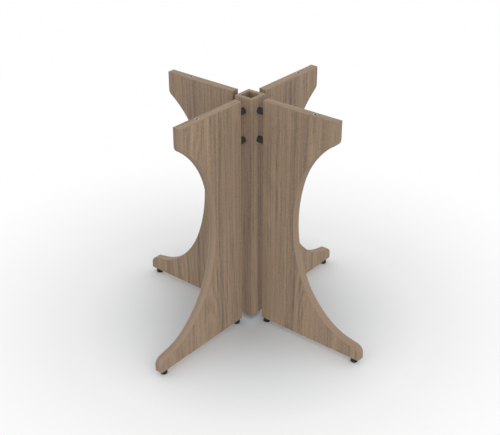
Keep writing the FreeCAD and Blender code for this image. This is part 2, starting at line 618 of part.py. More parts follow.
def make_glide_stem(name):
    """Make the threaded stem of a glide, along +Z from its seat in the foot, with a chamfered tip."""
    shank = rod(f"{name}_rod", "Sizes.stem_dia / 2", "Sizes.stem_length + Sizes.collar_height")
    doc.recompute()
    top = SIZE["stem_length"] + SIZE["collar_height"]
    item = doc.addObject("Part::Chamfer", name)
    item.Base = shank
    item.Edges = [(i, SIZE["sleeve_edge"], SIZE["sleeve_edge"])
                  for i, edge in enumerate(shank.Shape.Edges, start=1) if lies_at(edge, 2, top)]
    return item


def gather(label, items):
    """Put like pieces in one group, each a solid of its own."""
    group = doc.addObject("Part::Compound", label)
    group.Label = label
    group.Links = items
    return group


# The whole base

def make_base():
    """Make every piece of the base and return the objects that become files."""
    pieces = []
    foot_inserts, top_inserts, tie_inserts, studs, nuts = [], [], [], [], []
    for side, turn in LEGS:
        pieces += [make_panel(side, turn), make_outer_band(side, turn), make_inner_band(side, turn),
                   make_top_band(side, turn), make_post_board(side, turn)]
        for place, reach in GLIDES:
            label = f"{side}_{place}_glide"
            foot = put(make_glide_foot(f"{label}_foot"), f"Sizes.{reach}", "0", turn)
            stem = put(make_glide_stem(f"{label}_stem"), f"Sizes.{reach}",
                       "Sizes.glide_top - Sizes.collar_height", turn)
            pieces += [foot, stem]
            insert = make_insert(f"{label}_insert", "insert_dia", "insert_length", "stem_dia")
            foot_inserts.append(put(insert, f"Sizes.{reach}", "Sizes.sole_height", turn))
        insert = make_insert(f"{side}_top_insert", "insert_dia", "insert_length", "stem_dia")
        top_inserts.append(put(insert, "Sizes.arm_hole_reach", "Sizes.base_height", turn, DOWNWARDS))
        for place, height in TIES:
            label = f"{side}_{place}"
            insert = make_insert(f"{label}_tie_insert", "tie_insert_dia", "tie_insert_length", "stud_dia")
            tie_inserts.append(put(insert, "Sizes.leg_inner", f"Sizes.{height}", turn, OUTWARDS))
            pieces.append(put(make_sleeve(f"{label}_spacer_sleeve"), "Sizes.post_width / 2", f"Sizes.{height}",
                              turn, OUTWARDS))
            studs.append(put(make_stud(f"{label}_stud"), "Sizes.post_width / 2 - Sizes.stud_in_post",
                             f"Sizes.{height}", turn, OUTWARDS))
            nuts.append(put(make_cap_nut(f"{label}_cap_nut"),
                            "Sizes.post_width / 2 - Sizes.post_wall - Sizes.nut_head_thick",
                            f"Sizes.{height}", turn, OUTWARDS))
    pieces += [gather("glide_inserts", foot_inserts), gather("top_fixing_inserts", top_inserts),
               gather("tie_inserts", tie_inserts), gather("tie_studs", studs), gather("tie_cap_nuts", nuts)]
    return pieces


def write_files(pieces):
    """Check every object, then write one file for each piece."""
    doc.recompute()
    for item in doc.Objects:
        if "Invalid" in item.State or "Error" in item.State:
            raise RuntimeError(f"{item.Label} failed: {item.State}")
    for item in pieces:
        if item.Shape.isNull() or not item.Shape.isValid():
            raise RuntimeError(f"{item.Label} has no valid shape")
    os.makedirs("parts", exist_ok=True)
    for item in pieces:
        item.Shape.exportStep(f"parts/{item.Label}.step")
        print(f"{item.Label}: {len(item.Shape.Solids)} solid(s), {item.Shape.Volume / 1000:.1f} cm3")


make_sheet()
write_files(make_base())
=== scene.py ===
"""Looks of a pedestal table base: four curved legs round a hollow square post, on levelling glides.

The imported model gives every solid. This script gives the laminate, the edge banding, the moulded
and the metal finishes, the banding whose grain follows the curve, the screw threads, and the
studio round the base.
"""

from __future__ import annotations

import logging
import math
from collections.abc import Callable
from dataclasses import dataclass, field
from enum import Enum

import bpy
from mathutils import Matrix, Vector

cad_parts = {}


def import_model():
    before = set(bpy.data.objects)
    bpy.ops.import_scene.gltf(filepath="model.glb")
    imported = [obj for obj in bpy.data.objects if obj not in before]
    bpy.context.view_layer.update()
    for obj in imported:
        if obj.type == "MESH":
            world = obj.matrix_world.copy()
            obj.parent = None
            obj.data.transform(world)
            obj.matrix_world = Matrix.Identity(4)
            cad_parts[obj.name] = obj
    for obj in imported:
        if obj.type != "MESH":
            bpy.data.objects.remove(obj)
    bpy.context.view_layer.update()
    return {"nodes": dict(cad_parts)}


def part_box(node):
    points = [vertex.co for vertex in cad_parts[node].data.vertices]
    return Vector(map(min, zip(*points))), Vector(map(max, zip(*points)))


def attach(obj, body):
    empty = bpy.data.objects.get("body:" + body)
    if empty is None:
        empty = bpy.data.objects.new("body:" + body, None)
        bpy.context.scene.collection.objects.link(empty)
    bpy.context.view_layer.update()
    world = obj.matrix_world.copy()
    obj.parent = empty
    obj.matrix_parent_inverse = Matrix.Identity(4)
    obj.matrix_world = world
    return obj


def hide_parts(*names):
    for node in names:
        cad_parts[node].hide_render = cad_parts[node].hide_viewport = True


LOG = logging.getLogger("table_base")
MM = 0.001
BASE_BODY = "base"
Colour = tuple[float, float, float]
Point = tuple[float, float, float]
Span = tuple[float, float]
WHITE = (1.0, 1.0, 1.0, 1.0)


class Side(Enum):
    """The four legs, each with its direction in degrees about the post."""

    RIGHT = 0
    BACK = 90
    LEFT = 180
    FRONT = 270

    @property
    def word(self) -> str:
        """The word that starts the names of this leg's pieces."""
        return self.name.lower()


class Place(Enum):
    """The two levelling glides of a leg."""

    TOE = "toe"
    INNER = "inner"


class Grain(Enum):
    """The way a pattern runs: 0 for the axis that it is drawn out along, and 1 for the others."""

    UPRIGHT = (1.0, 1.0, 0.0)
    ALONG_X = (0.0, 1.0, 1.0)
    ALONG_Y = (1.0, 0.0, 1.0)
    ALONG_UV = (1.0, 0.0, 0.0)
    EVEN = (1.0, 1.0, 1.0)

    def scale(self, across: float, along: float) -> Point:
        """Scale a pattern so that it is narrow across the grain and long along it.

        Args:
            across: Features to a metre across the grain.
            along: Features to a metre along the grain.

        Returns:
            The three scales of a Mapping node.
        """
        return tuple(across if share else along for share in self.value)


@dataclass(frozen=True)
class Pattern:
    """One noise: features to a metre across and along the grain, octaves, roughness and start."""

    across: float
    along: float = 0.0
    detail: float = 2.0
    rough: float = 0.5
    start: float = 0.0


# Shader graphs


class Graph:
    """A node graph, built up from its sockets."""

    def __init__(self, tree: bpy.types.NodeTree) -> None:
        """Empty a node tree.

        Args:
            tree: The tree of a material or of the world.
        """
        self.nodes = tree.nodes
        self.links = tree.links
        self.nodes.clear()

    def add(self, kind: str, **inputs: object) -> bpy.types.Node:
        """Add a node and fill its sockets.

        Args:
            kind: The node's type, without the word ShaderNode.
            **inputs: A value or another node's output for each named socket.

        Returns:
            The new node.
        """
        node = self.nodes.new(f"ShaderNode{kind}")
        for name, value in inputs.items():
            self.feed(node.inputs[name.replace("_", " ")], value)
        return node

    def feed(self, socket: bpy.types.NodeSocket, value: object) -> None:
        """Set a socket to a value, or link it where the value is another node's output.

        Args:
            socket: The input to fill.
            value: The value or the output.
        """
        if isinstance(value, bpy.types.NodeSocket):
            self.links.new(value, socket)
        else:
            socket.default_value = value

    def maths(self, operation: str, first: object, second: object = 0.0) -> bpy.types.NodeSocket:
        """Combine two numbers, or change one.

        Args:
            operation: What is done.
            first: A number or a socket.
            second: A number or a socket, where the operation takes two.

        Returns:
            The result's socket.
        """
        node = self.nodes.new("ShaderNodeMath")
        node.operation = operation
        self.feed(node.inputs[0], first)
        self.feed(node.inputs[1], second)
        return node.outputs[0]

    def vectors(self, operation: str, *values: object) -> bpy.types.Node:
        """Combine vectors.

        Args:
            operation: What is done.
            *values: A vector or a socket for each input.

        Returns:
            The node, whose output depends on the operation.
        """
        node = self.nodes.new("ShaderNodeVectorMath")
        node.operation = operation
        for socket, value in zip(node.inputs, values):
            self.feed(socket, value)
        return node

    def noise(self, place: bpy.types.NodeSocket, pattern: Pattern, grain: Grain = Grain.EVEN,
              shift: float = 0.0) -> bpy.types.NodeSocket:
        """Add a noise.

        Args:
            place: The coordinates to read.
            pattern: The noise's size and make-up.
            grain: The way that it runs.
            shift: How far the pattern is moved, so that no two pieces are alike.

        Returns:
            The noise's value, from 0 to 1.
        """
        mapping = self.add("Mapping", Vector=place, Location=(shift + pattern.start,) * 3,
                           Scale=grain.scale(pattern.across, pattern.along))
        return self.add("TexNoise", Vector=mapping.outputs[0], Scale=1.0, Detail=pattern.detail,
                        Roughness=pattern.rough).outputs["Fac"]

    def ramp(self, value: bpy.types.NodeSocket,
             *stops: tuple[float, Colour]) -> bpy.types.NodeSocket:
        """Turn a number into a colour.

        Args:
            value: The number to read.
            *stops: Pairs of a position and its colour, in order.

        Returns:
            The colour's socket.
        """
        node = self.add("ValToRGB", Fac=value)
        band = node.color_ramp
        while len(band.elements) < len(stops):
            band.elements.new(0.5)
        for element, (position, colour) in zip(band.elements, stops):
            element.position = position
            element.color = (*colour, 1.0)
        return node.outputs[0]

    def mix(self, share: object, first: object, second: object) -> bpy.types.NodeSocket:
        """Blend two colours.

        Args:
            share: The second colour's share.
            first: A colour or a socket.
            second: A colour or a socket.

        Returns:
            The blend's socket.
        """
        node = self.nodes.new("ShaderNodeMix")
        node.data_type = "RGBA"
        self.feed(node.inputs["Factor"], share)
        for name, value in (("A", first), ("B", second)):
            socket = next(s for s in node.inputs if s.name == name and s.type == "RGBA")
            self.feed(socket, value if isinstance(value, bpy.types.NodeSocket) else (*value, 1.0))
        return next(s for s in node.outputs if s.type == "RGBA")

    def blend(self, share: object, first: bpy.types.Node,
              second: bpy.types.Node) -> bpy.types.NodeSocket:
        """Blend two shaders.

        Args:
            share: The second shader's share.
            first: The first shader's node.
            second: The second shader's node.

        Returns:
            The blend's socket.
        """
        node = self.nodes.new("ShaderNodeMixShader")
        for socket, value in zip(node.inputs, (share, first.outputs[0], second.outputs[0])):
            self.feed(socket, value)
        return node.outputs[0]

    def spread(self, value: bpy.types.NodeSocket, span: Span) -> bpy.types.NodeSocket:
        """Stretch a number from 0..1 to a span."""
        return self.add("MapRange", Value=value, To_Min=span[0], To_Max=span[1]).outputs[0]

    def window(self, value: bpy.types.NodeSocket, span: Span,
               most: float = 1.0) -> bpy.types.NodeSocket:
        """Rise from 0 to most while a number passes a span."""
        return self.add("MapRange", Value=value, From_Min=span[0], From_Max=span[1],
                        To_Max=most).outputs[0]

    def weigh(self, *parts: tuple[bpy.types.NodeSocket, float]) -> bpy.types.NodeSocket:
        """Add up numbers.

        Args:
            *parts: Pairs of a number's socket and its weight.

        Returns:
            The sum's socket.
        """
        total: object = 0.0
        for value, weight in parts:
            total = self.maths("ADD", total, self.maths("MULTIPLY", value, weight))
        return total

    def seen_rays(self) -> bpy.types.NodeSocket:
        """Tell the rays that show a thing, straight, in a reflection or through glass.

        Returns:
            1 for such a ray, and 0 for a ray that only lights.
        """
        rays = self.add("LightPath").outputs
        mirrored = self.maths("MAXIMUM", rays["Is Glossy Ray"], rays["Is Transmission Ray"])
        return self.maths("MAXIMUM", rays["Is Camera Ray"], mirrored)


class MaterialGraph(Graph):
    """A material's graph round one Principled shader."""

    def __init__(self, name: str) -> None:
        """Start a material with a shader and nothing else.

        Args:
            name: The material's name.
        """
        self.material = bpy.data.materials.new(name)
        self.material.use_nodes = True
        super().__init__(self.material.node_tree)
        self.coordinates = self.add("TexCoord").outputs
        self.shader = self.add("BsdfPrincipled")
        self.output = self.add("OutputMaterial", Surface=self.shader.outputs["BSDF"])

    def surface(self, **inputs: object) -> None:
        """Fill the shader's own sockets.

        Args:
            **inputs: A value or another node's output for each named socket.
        """
        for name, value in inputs.items():
            self.feed(self.shader.inputs[name.replace("_", " ")], value)

    def bump(self, height: bpy.types.NodeSocket, depth: float, strength: float) -> None:
        """Raise the surface by a height from 0 to 1, so many metres deep."""
        node = self.add("Bump", Height=height, Distance=depth, Strength=strength)
        self.surface(Normal=node.outputs[0])


# Finishes


@dataclass(frozen=True)
class Streak:
    """A wide soft streak down the print: dark, or light where its depth is negative."""

    place: float
    half_width: float
    depth: float


@dataclass(frozen=True)
class WoodFinish:
    """A printed wood grain, on laminate or on edge banding."""

    name: str
    grain: Grain
    shift: float
    bare_below: float = 0.0
    streaks: tuple[Streak, ...] = ()

    dark: Colour = (0.150, 0.117, 0.091)
    middle: Colour = (0.279, 0.202, 0.140)
    light: Colour = (0.388, 0.274, 0.181)
    tones: tuple[float, float, float] = (0.35, 0.48, 0.62)

    wander: Pattern = Pattern(3.5, 3.0, 2.0, 0.5, 3.0)
    sway: float = 12.0 * MM
    broad: Pattern = Pattern(85.0, 0.9, 2.0, 0.45)
    narrow: Pattern = Pattern(230.0, 2.5, 2.0, 0.6, 5.0)
    lines: Pattern = Pattern(520.0, 30.0, 2.0, 0.7, 7.0)
    mottle: Pattern = Pattern(320.0, 160.0, 2.0, 0.7, 8.0)
    weights: tuple[float, float, float, float] = (0.29, 0.30, 0.16, 0.25)

    dashes: Pattern = Pattern(85.0, 8.0, 1.0, 0.3, 11.0)
    dash_span: Span = (0.58, 0.76)
    dash_depth: float = 0.05

    knots: Pattern = Pattern(7.0, 4.0, 0.0, 0.5, 21.0)
    knot_span: Span = (0.56, 0.72)
    swell: Pattern = Pattern(9.0, 3.0, 1.0, 0.4, 17.0)
    swell_rings: float = 8.0
    rings_to_metre: float = 45.0
    ring_depth: float = 0.04

    rosy: Colour = (0.288, 0.200, 0.140)
    drift: Pattern = Pattern(16.0, 3.0, 1.0, 0.5, 9.0)
    drift_span: Span = (0.45, 0.70)
    drift_share: float = 0.35

    pore: Colour = (0.105, 0.076, 0.055)
    pores: Pattern = Pattern(1700.0, 120.0, 1.0, 0.5, 13.0)
    pore_span: Span = (0.58, 0.72)
    pore_share: float = 0.5

    chips_to_metre: float = 420.0
    chip_colours: tuple[Colour, Colour, Colour] = ((0.20, 0.13, 0.07), (0.42, 0.29, 0.16),
                                                   (0.60, 0.45, 0.27))

    roughness: Span = (0.56, 0.70)
    gloss: float = 0.25
    relief: float = 0.2 * MM
    relief_strength: float = 0.35
    narrow_rise: float = 0.6
    pore_drop: float = 0.4

    def build(self) -> bpy.types.Material:
        """Make the material.

        Returns:
            The finished material.
        """
        g = MaterialGraph(self.name)
        path = self.lay_path(g)
        across = self.measure_across(g, path)
        narrow = g.noise(path, self.narrow, self.grain, self.shift)
        pores = g.noise(path, self.pores, self.grain, self.shift)
        drift = g.noise(path, self.drift, self.grain, self.shift)
        dashes = g.noise(path, self.dashes, self.grain, self.shift)
        layers = (g.noise(path, self.broad, self.grain, self.shift), narrow,
                  g.noise(path, self.lines, self.grain, self.shift),
                  g.noise(path, self.mottle, self.grain, self.shift))
        tone = g.weigh(*zip(layers, self.weights),
                       (self.add_rings(g, path, across), self.ring_depth),
                       (g.window(dashes, self.dash_span), -self.dash_depth),
                       *((self.add_streak(g, across, streak), -streak.depth)
                         for streak in self.streaks))

        colour = g.ramp(tone, *zip(self.tones, (self.dark, self.middle, self.light)))
        colour = g.mix(g.window(drift, self.drift_span, self.drift_share), colour, self.rosy)
        colour = g.mix(g.window(pores, self.pore_span, self.pore_share), colour, self.pore)
        if self.bare_below:
            colour = self.add_bare_board(g, colour)
        g.surface(Base_Color=colour, Roughness=g.spread(narrow, self.roughness),
                  Specular_IOR_Level=self.gloss)
        g.bump(g.weigh((narrow, self.narrow_rise), (pores, -self.pore_drop)), self.relief,
               self.relief_strength)
        return g.material

    def lay_path(self, g: MaterialGraph) -> bpy.types.NodeSocket:
        """Let the grain wander a little to either side.

        Args:
            g: The material's graph.

        Returns:
            The wandering coordinates, in metres.
        """
        place = g.coordinates["UV" if self.grain is Grain.ALONG_UV else "Object"]
        wander = g.noise(place, self.wander, self.grain, self.shift)
        sway = tuple(self.sway * share for share in self.grain.value)
        return g.vectors("MULTIPLY_ADD", g.maths("SUBTRACT", wander, 0.5), sway, place).outputs[0]

    def measure_across(self, g: Graph, path: bpy.types.NodeSocket) -> bpy.types.NodeSocket:
        """Measure the place across the grain, in metres from the post's axis."""
        off = g.vectors("DOT_PRODUCT", path, self.grain.value).outputs["Value"]
        return g.maths("ABSOLUTE", off)

    def add_streak(self, g: Graph, across: bpy.types.NodeSocket,
                   streak: Streak) -> bpy.types.NodeSocket:
        """Add one wide streak.

        Args:
            g: The material's graph.
            across: The place across the grain.
            streak: The streak's place and width.

        Returns:
            A number that is 1 in the middle of the streak and 0 outside it.
        """
        off = g.maths("ABSOLUTE", g.maths("SUBTRACT", across, streak.place))
        node = g.add("MapRange", Value=off, From_Max=streak.half_width, To_Min=1.0, To_Max=0.0)
        node.interpolation_type = "SMOOTHSTEP"
        return node.outputs[0]

    def add_rings(self, g: Graph, path: bpy.types.NodeSocket,
                  across: bpy.types.NodeSocket) -> bpy.types.NodeSocket:
        """Add growth rings that bunch, part and close into loops, as where a board was near a knot.

        Args:
            g: The material's graph.
            path: The wandering coordinates.
            across: The place across the grain.

        Returns:
            A number from -1 to 1, which is 0 where the board has no such rings.
        """
        swell = g.noise(path, self.swell, self.grain, self.shift)
        turns = g.weigh((across, 2 * math.pi * self.rings_to_metre),
                        (swell, 2 * math.pi * self.swell_rings))
        knots = g.noise(path, self.knots, self.grain, self.shift)
        return g.maths("MULTIPLY", g.maths("SINE", turns), g.window(knots, self.knot_span))

    def add_bare_board(self, g: MaterialGraph,
                       colour: bpy.types.NodeSocket) -> bpy.types.NodeSocket:
        """Show bare particle board where a board is cut and not banded, which is its sole.

        Args:
            g: The material's graph.
            colour: The laminate's colour.

        Returns:
            The colour with the sole in it.
        """
        place = g.coordinates["Object"]
        chips = g.add("TexVoronoi", Vector=place, Scale=self.chips_to_metre)
        chance = g.add("SeparateColor", Color=chips.outputs["Color"]).outputs[0]
        board = g.ramp(chance, *zip((0.0, 0.5, 1.0), self.chip_colours))
        height = g.add("SeparateXYZ", Vector=place).outputs["Z"]
        return g.mix(g.maths("LESS_THAN", height, self.bare_below), colour, board)


@dataclass(frozen=True)
class HardFinish:
    """A moulded, coated or plated finish: two near colours in clouds, and a fine relief."""

    name: str
    colour: Colour
    second: Colour
    clouds: Pattern
    relief: Pattern
    roughness: Span
    gloss: float = 0.5
    metallic: float = 0.0
    relief_depth: float = 0.1 * MM
    relief_strength: float = 0.0

    def material(self) -> bpy.types.Material:
        """Find the finish's material, or make it the first time."""
        return bpy.data.materials.get(self.name) or self.build()

    def build(self) -> bpy.types.Material:
        """Make the material.

        Returns:
            The finished material.
        """
        g = MaterialGraph(self.name)
        place = g.coordinates["Object"]
        relief = g.noise(place, self.relief)
        g.surface(Base_Color=g.mix(g.noise(place, self.clouds), self.colour, self.second),
                  Roughness=g.spread(relief, self.roughness), Specular_IOR_Level=self.gloss,
                  Metallic=self.metallic)
        if self.relief_strength:
            g.bump(relief, self.relief_depth, self.relief_strength)
        return g.material


NYLON = HardFinish("black_nylon_moulded", (0.010, 0.010, 0.011), (0.018, 0.018, 0.019),
                   clouds=Pattern(90.0, start=3.0), relief=Pattern(2600.0), roughness=(0.48, 0.66),
                   gloss=0.3, relief_strength=0.4)
POWDER_COAT = HardFinish("black_powder_coat", (0.022, 0.022, 0.024), (0.040, 0.040, 0.043),
                         clouds=Pattern(3200.0, detail=1.0, start=7.0),
                         relief=Pattern(900.0, detail=1.0), roughness=(0.32, 0.48),
                         relief_strength=0.35)
ZINC = HardFinish("zinc_plated_steel", (0.60, 0.60, 0.58), (0.42, 0.43, 0.44),
                  clouds=Pattern(260.0, detail=3.0), relief=Pattern(260.0, detail=3.0),
                  roughness=(0.24, 0.44), metallic=1.0)


# Modelling helpers


def select_alone(piece: bpy.types.Object) -> None:
    """Select one object alone and make it the active one.

    Args:
        piece: The object.
    """
    bpy.ops.object.select_all(action="DESELECT")
    piece.select_set(True)
    bpy.context.view_layer.objects.active = piece


def name_piece(name: str) -> bpy.types.Object:
    """Name the active object and its mesh.

    Args:
        name: The name of both.

    Returns:
        The object.
    """
    piece = bpy.context.object
    piece.name = name
    piece.data.name = name
    return piece


def apply_place(piece: bpy.types.Object) -> None:
    """Put an object's place, turn and scale into its mesh."""
    select_alone(piece)
    bpy.ops.object.transform_apply(location=True, rotation=True, scale=True)


def copy_piece(piece: bpy.types.Object, name: str, turn: float, move: Vector) -> bpy.types.Object:
    """Copy a finished piece with a mesh of its own.

    Args:
        piece: The piece to copy.
        name: The copy's name.
        turn: Turn about the post in degrees.
        move: How far the copy is moved after the turn, in metres.

    Returns:
        The copy, with its place in its mesh.
    """
    copy = piece.copy()
    copy.data = piece.data.copy()
    copy.name = name
    copy.data.name = name
    bpy.context.scene.collection.objects.link(copy)
    copy.rotation_euler.z = math.radians(turn)
    copy.location = move
    apply_place(copy)
    return copy


def select_only(piece: bpy.types.Object, kind: str, wanted: Callable[[object], bool]) -> None:
    """Enter edit mode with only some vertices or edges of the active object selected.

    Args:
        piece: The active object.
        kind: What is selected, "VERT" or "EDGE".
        wanted: Tells whether a vertex or an edge is selected.
    """
    bpy.ops.object.mode_set(mode="EDIT")
    bpy.ops.mesh.select_mode(type=kind)
    bpy.ops.mesh.select_all(action="DESELECT")
    bpy.ops.object.mode_set(mode="OBJECT")
    for item in piece.data.vertices if kind == "VERT" else piece.data.edges:
        item.select = wanted(item)
    bpy.ops.object.mode_set(mode="EDIT")


def point_faces_out(piece: bpy.types.Object, merge: float = 1e-7) -> None:
    """Merge doubled vertices and make all faces point outwards.

    Args:
        piece: The object to clean.
        merge: Vertices that are nearer than this are one.
    """
    select_alone(piece)
    bpy.ops.object.mode_set(mode="EDIT")
    bpy.ops.mesh.select_all(action="SELECT")
    bpy.ops.mesh.remove_doubles(threshold=merge)
    bpy.ops.mesh.normals_make_consistent(inside=False)
    bpy.ops.object.mode_set(mode="OBJECT")


def paint(piece: bpy.types.Object, material: bpy.types.Material) -> None:
    """Give a piece one material all over.

    Args:
        piece: The piece, with material slots or without.
        material: The material.
    """
    if piece.material_slots:
        for slot in piece.material_slots:
            slot.material = material
    else:
        piece.data.materials.append(material)


# The curved edge banding


@dataclass
class EdgeBanding:
    """The outer edge bands: a strip down each leg's curved edge, whose grain follows the curve."""

    base_height: float = 739.0 * MM
    sole_height: float = 17.0 * MM
    board: float = 25.4 * MM
    thickness: float = 3.0 * MM
    corner: float = 2.0 * MM
    corner_steps: int = 5
    arm_reach: float = 305.0 * MM
    arm_depth: float = 54.8 * MM
    arm_round: float = 20.0 * MM
    flare_radius: float = 264.0 * MM
    upper_radius: float = 480.0 * MM
    upper_turn: float = math.radians(16.6)
    waist_reach: float = 171.5 * MM
    lower_turns: tuple[float, float, float] = tuple(math.radians(a) for a in (22.9, 31.2, 24.7))
    calf_radius: float = 280.0 * MM
    ridge: float = 29.0 * MM
    toe_round: float = 24.0 * MM
    toe_height: float = 35.0 * MM
    toe_reach: float = 416.5 * MM
    step_length: float = 6.0 * MM
    finest_turn: float = math.radians(7.0)
    smooth_angle: float = math.radians(35.0)
    print_start: float = 2.0
    print_turn: float = 30.0
    ring_lengths: list[float] = field(default_factory=list)

    def route(self) -> list[tuple[Vector, float]]:
        """Work out the strip's run from the end of the arm to the sole, in the leg's own plane.

        Returns:
            Steps in order. A straight one has its vector and no angle, and a turned one has its
            centre and its angle, positive where the edge is hollow.
        """
        step = self.upper_radius - self.flare_radius
        tip = Vector((self.arm_reach - self.arm_round, 0, self.base_height - self.arm_depth))
        flare_x = self.waist_reach + self.upper_radius - step * math.cos(self.upper_turn)
        rise = math.sqrt((self.flare_radius + self.arm_round) ** 2 - (flare_x - tip.x) ** 2)
        flare = Vector((flare_x, 0, tip.z - rise))
        arm_turn = math.atan2(rise, flare_x - tip.x)
        waist = Vector((self.waist_reach, 0, flare.z - step * math.sin(self.upper_turn)))
        upper = waist + Vector((self.upper_radius, 0, 0))

        turns = [0.0]
        for turn in self.lower_turns:
            turns.append(turns[-1] + turn)
        across = [math.cos(turn) for turn in turns]
        down = [math.sin(turn) for turn in turns]
        centres = self.lower_centres(waist, across, down)
        toe = Vector((self.toe_reach - self.toe_round, 0, self.toe_height))
        return [(Vector((0, 0, tip.z - self.base_height)), 0.0),
                (tip, -arm_turn),
                (flare, arm_turn - self.upper_turn),
                (upper, self.upper_turn),
                *zip(centres, self.lower_turns),
                (Vector((self.ridge * down[3], 0, -self.ridge * across[3])), 0.0),
                (toe, -turns[3]),
                (Vector((0, 0, self.sole_height - self.toe_height)), 0.0)]

    def lower_centres(self, waist: Vector, across: list[float], down: list[float]) -> list[Vector]:
        """Place the three arcs from the waist to the ridge over the toe.

        The first and the last radius are solved, so that the arcs meet both ends.

        Args:
            waist: The leg's narrowest point.
            across: The cosine of the edge's slope at the arcs' four ends.
            down: The sine of the same slope.

        Returns:
            The three centres, from the waist down.
        """
        foot = Vector((self.toe_reach - self.toe_round * (1 - across[3]) - self.ridge * down[3], 0,
                       self.toe_height + self.toe_round * down[3] + self.ridge * across[3]))
        missing_x = foot.x - waist.x - self.calf_radius * (across[1] - across[2])
        missing_z = waist.z - foot.z - self.calf_radius * (down[2] - down[1])
        first = (across[0] - across[1], down[1] - down[0])
        last = (across[2] - across[3], down[3] - down[2])
        share = first[0] * last[1] - first[1] * last[0]
        radii = ((missing_x * last[1] - missing_z * last[0]) / share, self.calf_radius,
                 (first[0] * missing_z - first[1] * missing_x) / share)
        centres = [waist + Vector((radii[0], 0, 0))]
        for i in (1, 2):
            gap = radii[i - 1] - radii[i]
            centres.append(centres[-1] - Vector((gap * across[i], 0, gap * down[i])))
        return centres

    def model(self) -> bpy.types.Object:
        """Model the strip of the leg along +X.

        Returns:
            The strip, closed, with its grain laid out in a UV map.
        """
        bpy.ops.object.select_all(action="DESELECT")
        middle = self.arm_reach - self.thickness / 2
        bpy.ops.mesh.primitive_plane_add(size=1.0, location=(middle, 0, self.base_height))
        strip = name_piece("edge_banding")
        strip.scale = (self.thickness, self.board, 1.0)
        apply_place(strip)
        select_only(strip, "VERT", lambda vertex: vertex.co.x > middle)
        bpy.ops.mesh.bevel(offset=self.corner, segments=self.corner_steps, affect="VERTICES")
        bpy.ops.object.mode_set(mode="OBJECT")
        section = len(strip.data.vertices)

        bpy.ops.object.mode_set(mode="EDIT")
        bpy.ops.mesh.select_all(action="SELECT")
        self.ring_lengths = [0.0]
        face = Vector((self.arm_reach, 0, self.base_height))
        for where, angle in self.route():
            if angle:
                face = self.turn_on(face, where, angle)
            else:
                bpy.ops.mesh.extrude_region_move(TRANSFORM_OT_translate={"value": where})
                self.ring_lengths.append(self.ring_lengths[-1] + where.length)
                face = face + where
        bpy.ops.object.mode_set(mode="OBJECT")
        self.lay_grain(strip, section)
        point_faces_out(strip)
        bpy.ops.object.shade_smooth_by_angle(angle=self.smooth_angle)
        return strip

    def turn_on(self, face: Vector, centre: Vector, angle: float) -> Vector:
        """Spin the strip's end about a centre and note each ring's length.

        Args:
            face: The middle of the strip's outer face at its end.
            centre: The centre of the turn.
            angle: The turn, positive where the edge is hollow.

        Returns:
            The middle of the outer face after the turn.
        """
        away = face - centre
        length = away.length * abs(angle)
        steps = math.ceil(max(length / self.step_length, abs(angle) / self.finest_turn))
        bpy.ops.mesh.spin(steps=steps, angle=angle, center=centre, axis=(0, 1, 0))
        start = self.ring_lengths[-1]
        self.ring_lengths += [start + length * (i + 1) / steps for i in range(steps)]
        return centre + Vector((away.x * math.cos(angle) - away.z * math.sin(angle), 0,
                                away.x * math.sin(angle) + away.z * math.cos(angle)))

    def lay_grain(self, strip: bpy.types.Object, section: int) -> None:
        """Write a UV map whose V is the length down the strip and whose U is the place across it.

        Args:
            strip: The strip, with its vertices ring by ring.
            section: How many vertices a ring has.
        """
        layer = strip.data.uv_layers.new(name="grain")
        for loop in strip.data.loops:
            across = strip.data.vertices[loop.vertex_index].co.y
            layer.data[loop.index].uv = (across, self.ring_lengths[loop.vertex_index // section])

    def dress(self) -> list[bpy.types.Object]:
        """Put a strip on each leg in place of its plain band.

        Returns:
            The strips.
        """
        pattern = self.model()
        strips = []
        for side in Side:
            name = f"{side.word}_edge_strip"
            strip = copy_piece(pattern, name, side.value, Vector())
            shift = self.print_start + side.value / self.print_turn
            paint(strip, WoodFinish(f"{name}_banding", Grain.ALONG_UV, shift).build())
            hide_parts(f"{side.word}_leg_outer_band")
            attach(strip, BASE_BODY)
            strips.append(strip)
        bpy.data.objects.remove(pattern)
        return strips


